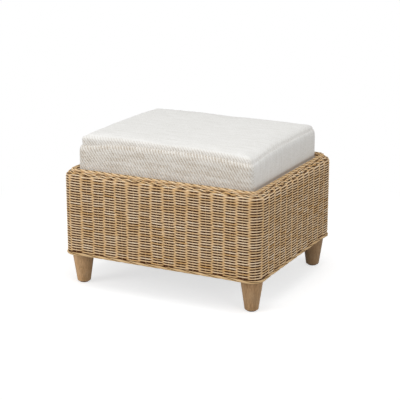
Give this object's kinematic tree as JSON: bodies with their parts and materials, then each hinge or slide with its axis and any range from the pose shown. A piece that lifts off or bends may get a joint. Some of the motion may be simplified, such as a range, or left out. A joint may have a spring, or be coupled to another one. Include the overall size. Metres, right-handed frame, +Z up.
{
  "type": "outdoor ottoman footstool",
  "caption": "Low wicker footstool with a rolled rim, tapered turned wooden feet and a loose box cushion that lifts out of its recess.",
  "frame": {"origin": "on the floor, under the middle of the footstool", "axes": "+Z up, +X along the length, -Y towards the front, which is the long side that the picture shows at the left"},
  "size_m": [0.615, 0.535, 0.4299],
  "materials": {
    "wicker": "round all-weather wicker strands, honey brown with lighter crests, satin",
    "wicker_border": "lighter honey wicker strands, satin",
    "frame": "aluminium tube and plate, brown powder coat",
    "webbing": "woven brown webbing, matt",
    "foot_wood": "turned hardwood, light brown, satin, grain along the foot",
    "steel": "zinc-plated steel",
    "glide": "dark brown nylon",
    "cushion_fabric": "pale oatmeal twill, matt",
    "foam": "open-cell foam",
    "zip_tape": "woven tape and nylon coil, oatmeal",
    "zip_metal": "nickel-plated zinc"
  },
  "bodies": {
    "footstool": {"wicker_wall": "wicker", "rim_border": "wicker_border", "hem_border": "wicker_border", "frame_rim_rail": "frame", "frame_base_rail": "frame", "deck_rail_front": "frame", "deck_rail_back": "frame", "deck_rail_left": "frame", "deck_rail_right": "frame", "frame_post_front_left": "frame", "corner_plate_front_left": "frame", "foot_front_left": "foot_wood", "foot_bolt_front_left": "steel", "foot_nut_front_left": "steel", "glide_front_left": "glide", "frame_post_front_right": "frame", "corner_plate_front_right": "frame", "foot_front_right": "foot_wood", "foot_bolt_front_right": "steel", "foot_nut_front_right": "steel", "glide_front_right": "glide", "frame_post_back_left": "frame", "corner_plate_back_left": "frame", "foot_back_left": "foot_wood", "foot_bolt_back_left": "steel", "foot_nut_back_left": "steel", "glide_back_left": "glide", "frame_post_back_right": "frame", "corner_plate_back_right": "frame", "foot_back_right": "foot_wood", "foot_bolt_back_right": "steel", "foot_nut_back_right": "steel", "glide_back_right": "glide", "strap_lengthwise_1": "webbing", "strap_lengthwise_2": "webbing", "strap_lengthwise_3": "webbing", "strap_lengthwise_4": "webbing", "strap_lengthwise_5": "webbing", "strap_crosswise_1": "webbing", "strap_crosswise_2": "webbing", "strap_crosswise_3": "webbing", "strap_crosswise_4": "webbing", "strap_crosswise_5": "webbing", "strap_crosswise_6": "webbing"},
    "cushion": {"cushion_core": "foam", "cushion_top_panel": "cushion_fabric", "cushion_bottom_panel": "cushion_fabric", "cushion_boxing": "cushion_fabric", "cushion_zip_chain": "zip_tape"},
    "zip_slider": {"cushion_zip_slider": "zip_metal"},
    "zip_pull": {"cushion_zip_pull": "zip_metal"}
  },
  "joints": [
    {"name": "cushion_lift", "type": "slide", "parent": "footstool", "child": "cushion", "axis": [0, 0, 1], "range_m": [0, 0.15]},
    {"name": "zip_run", "type": "slide", "parent": "cushion", "child": "zip_slider", "axis": [-1, 0, 0], "range_m": [0, 0.383]},
    {"name": "pull_swing", "type": "hinge", "parent": "zip_slider", "child": "zip_pull", "pos_m": [0.1915, 0.2288, 0.36601], "axis": [0, 0, 1], "range_deg": [0, 175]}
  ]
}
